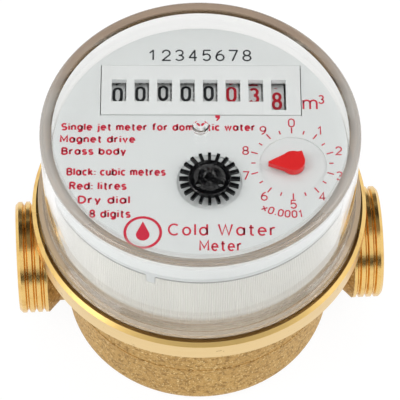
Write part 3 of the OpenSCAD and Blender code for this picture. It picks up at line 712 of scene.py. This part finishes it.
for k, (shown, slack) in enumerate(zip(READING, play), start=1):
    place, rim = on_drum(k)
    ink = Ink(place)
    for sign in NUMERALS:
        angle = math.radians(36 * ((int(shown) - int(sign) + 5) % 10 - 5) + slack)
        ink.numeral(sign, numeral_middle, rim * angle, numeral_width, numeral_height, numeral_stroke)
    look = ("red_plastic", drum_red) if k >= first_red_drum else ("black_plastic", drum_black)
    ink.piece(f"numerals_{k}", f"drum_{k}", *look)

# %% [markdown]
# The small round scale stands for the fourth decimal. Long ticks carry the numerals 0 to 9, clockwise from the
# back, with a short tick between each two. Its factor follows the curve under the 5.

# %% Small scale
pointer_place = to_register.inverted() @ Vector(joints["pointer_spin"]["pos_m"])
scale_x, scale_y = pointer_place.x / MM - 0.15, pointer_place.y / MM + 0.45
tick_width = 0.3
numeral_ring = 11.0


def round_scale(radius, angle):
    return scale_x + radius * math.cos(angle), scale_y + radius * math.sin(angle)


scale = Ink(on_dial)
for i in range(20):
    angle = math.radians(90 - 18 * i)
    inner, outer = (8.15, 9.7) if i % 2 == 0 else (8.25, 9.2)
    scale.stroke([round_scale(inner, angle), round_scale(outer, angle)], tick_width)
    if i % 2 == 0:
        scale.numeral(str(i // 2), *round_scale(numeral_ring, angle), 1.55, 2.4, 0.3)
factor_ring = 13.6
factor_angles = [-118, -111.5, -106.6, -102.2, -95.8, -89.4, -83.4]
for sign, degrees in zip("x0.0001", factor_angles):
    angle = math.radians(degrees)
    x, y = round_scale(factor_ring, angle)
    scale.numeral(sign, x, y, 1.3, 2.0, 0.3, angle + math.pi / 2)
scale.piece("small_scale", "register", "red_plastic", red_print)

# %% [markdown]
# The rest of the print is plain: the unit, the decimal comma and a few generic words about the meter, with a drop
# in a ring as a sign for water. The number above the counter is a row of dots, as a marking machine leaves it.

# %% Words on the dial
words = Ink(on_dial)
words.words("m", 23.3, 10.1, 3.9, 3.45, 0.42)
words.numeral("3", 27.6, 13.0, 1.4, 2.5, 0.32)
words.plate([(3.4, 8.5), (3.5, 7.75), (3.95, 7.75), (3.6, 6.95), (3.9, 6.9), (4.5, 7.7), (4.5, 8.5)])
word_lines = [
    ("Single jet meter for domestic water", -31.4, 12.5, 4.15, 2.1),
    ("Magnet drive", -31.6, -14.6, 0.8, 2.1),
    ("Brass body", -31.2, -16.6, -2.5, 2.1),
    ("Black: cubic metres", -29.9, -7.7, -8.1, 2.15),
    ("Red: litres", -29.2, -16.4, -11.9, 2.2),
    ("Dry dial", -27.2, -15.6, -15.6, 2.2),
    ("8 digits", -24.6, -15.4, -19.3, 2.2),
]
for line, left, right, foot, height in word_lines:
    words.words(line, left, foot, height, right - left, 0.44)
words.words("Cold Water", -7.2, -23.9, 3.2, 23.8, 0.42)
words.words("Meter", -0.3, -27.9, 2.9, 9.4, 0.4)
words.piece("red_words", "register", "red_plastic", red_print)

# %% Drop mark
mark_x, mark_y = -12.7, -23.1
mark_radius = 3.95
mark = Ink(on_dial)
mark.stroke(ring(mark_x, mark_y, mark_radius, mark_radius, 48), 0.6)
drop_radius = 1.5
drop_tip = 2.9
lean = math.degrees(math.acos(drop_radius / (drop_tip + 0.6)))
drop = arc(mark_x, mark_y - 0.6, drop_radius, drop_radius, 90 + lean, 450 - lean, 28)
mark.plate(drop + [(mark_x, mark_y + drop_tip)])
mark.piece("drop_mark", "register", "red_plastic", red_print)

# %% Number row
number_left, number_right = -11.7, 11.7
number_foot, number_height = 23.9, 2.9
number_wide = 1.75
dot_step = 0.3
dot_radius = 0.22
row = Ink(on_dial)
plain_number = "12345678"
for i, sign in enumerate(plain_number):
    start = number_left + i * (number_right - number_left - number_wide) / (len(plain_number) - 1)
    for path in NUMERALS[sign]:
        spots = [Vector((start + u * number_wide, number_foot + v * number_height)) for u, v in path]
        spare = 0.0
        for one, two in zip(spots, spots[1:]):
            length = (two - one).length
            while spare <= length:
                spot = one.lerp(two, spare / length)
                row.plate(arc(spot.x, spot.y, dot_radius, dot_radius, 0, 300, 5))
                spare += dot_step
            spare -= length
row.piece("number_row", "register", "black_plastic", grey_print)

# %% [markdown]
# The white housing under the dial has fine upright ribs outside, which show through the clear wall. A bump could
# only shade them. Real ribs also catch the light at the wall's two sides, and there is room for them between the
# housing and the cap. They stop short of the small tab that keys the dial to the housing.

# %% Ribs on the housing
housing_low, housing_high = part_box("register_housing")
wall_radius = 33.1
rib_count = 420
rib_height = 0.15
rib_foot, rib_crest = 0.3, 0.14
rib_bottom = housing_low.z / MM + 1.4
rib_top = housing_high.z / MM - 0.1
tab_angle, tab_half, tab_depth = -108.5, 2.2, 3.2
ribs = bmesh.new()
for i in range(rib_count):
    degrees = 360 * i / rib_count - 180
    top = rib_top - (tab_depth if abs(degrees - tab_angle) < tab_half else 0.0)
    turn = to_register @ Matrix.Rotation(math.radians(degrees), 4, "Z")
    section = [(wall_radius - 0.01, -rib_foot / 2), (wall_radius - 0.01, rib_foot / 2),
               (wall_radius + rib_height, rib_crest / 2), (wall_radius + rib_height, -rib_crest / 2)]
    rings = [[ribs.verts.new(turn @ Vector((r * MM, side * MM, z * MM))) for r, side in section]
             for z in (rib_bottom, top)]
    ribs.faces.new(rings[0][::-1])
    ribs.faces.new(rings[1])
    for j in range(4):
        ribs.faces.new((rings[0][j - 1], rings[0][j], rings[1][j], rings[1][j - 1]))
bmesh.ops.recalc_face_normals(ribs, faces=ribs.faces)
as_piece(ribs, "wall_ribs", "register", finishes["white_plastic"])
